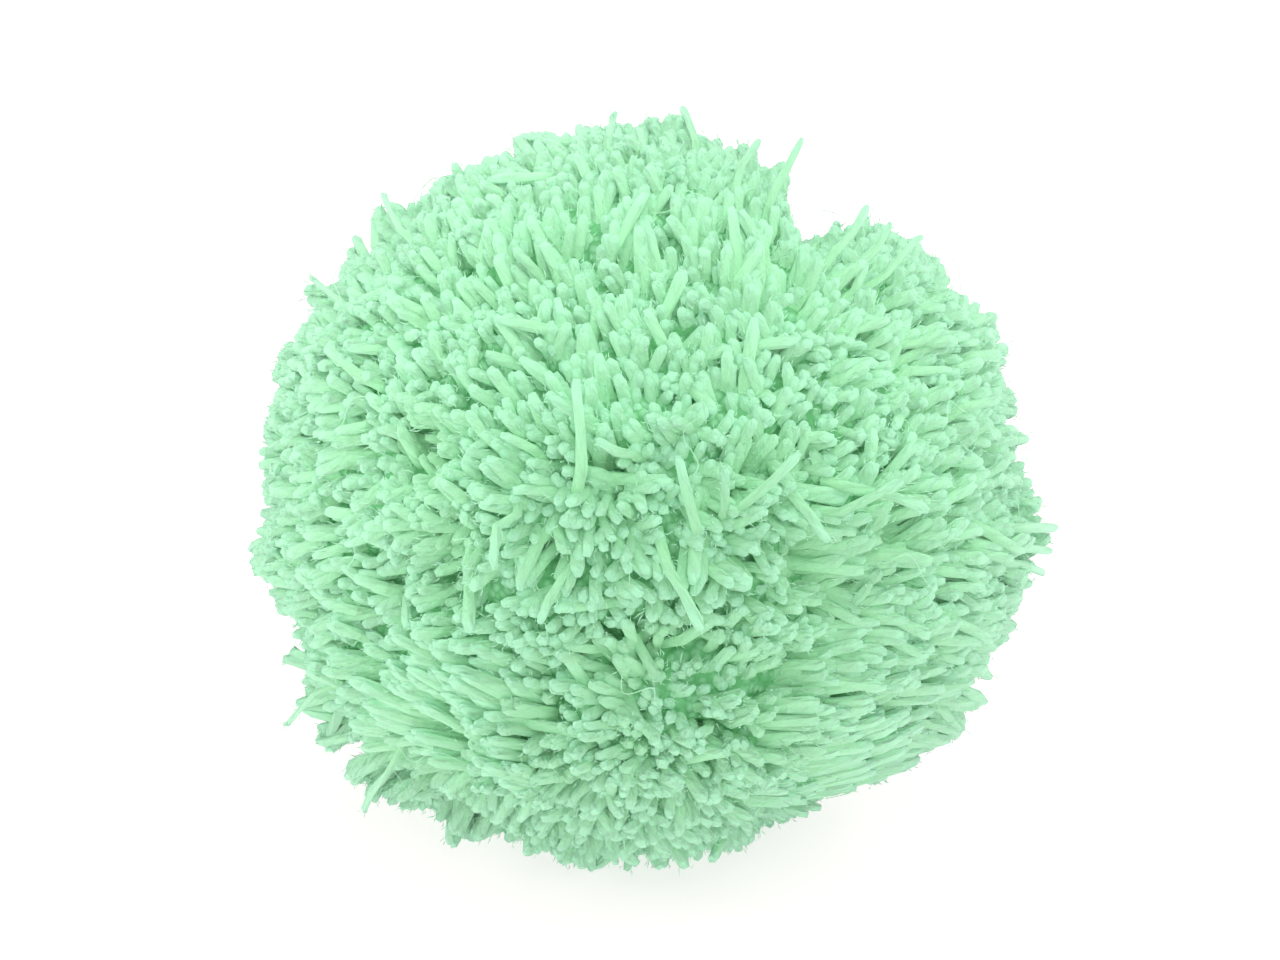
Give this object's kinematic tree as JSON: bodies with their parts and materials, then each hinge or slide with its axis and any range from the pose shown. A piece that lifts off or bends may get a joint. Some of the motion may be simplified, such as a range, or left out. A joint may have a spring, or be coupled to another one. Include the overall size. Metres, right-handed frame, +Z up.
{
  "type": "yarn pom pom",
  "caption": "Round pom pom of cut mint green yarn in tufts radiating from a hidden tie, resting on the level ends of the locks under it; a soft trimming for hats, bags and garlands.",
  "frame": {"origin": "on the surface that the pom pom rests on, under the middle of its width and depth", "axes": "+Z up, -Y towards the front that the picture shows, +X to the right of that front"},
  "size_m": [0.1004, 0.098, 0.0918],
  "materials": {
    "yarn": "matt mint green acrylic yarn, plied and cut, with soft fibrous ends"
  },
  "bodies": {
    "root": {"pom_pom": "yarn"}
  },
  "joints": []
}
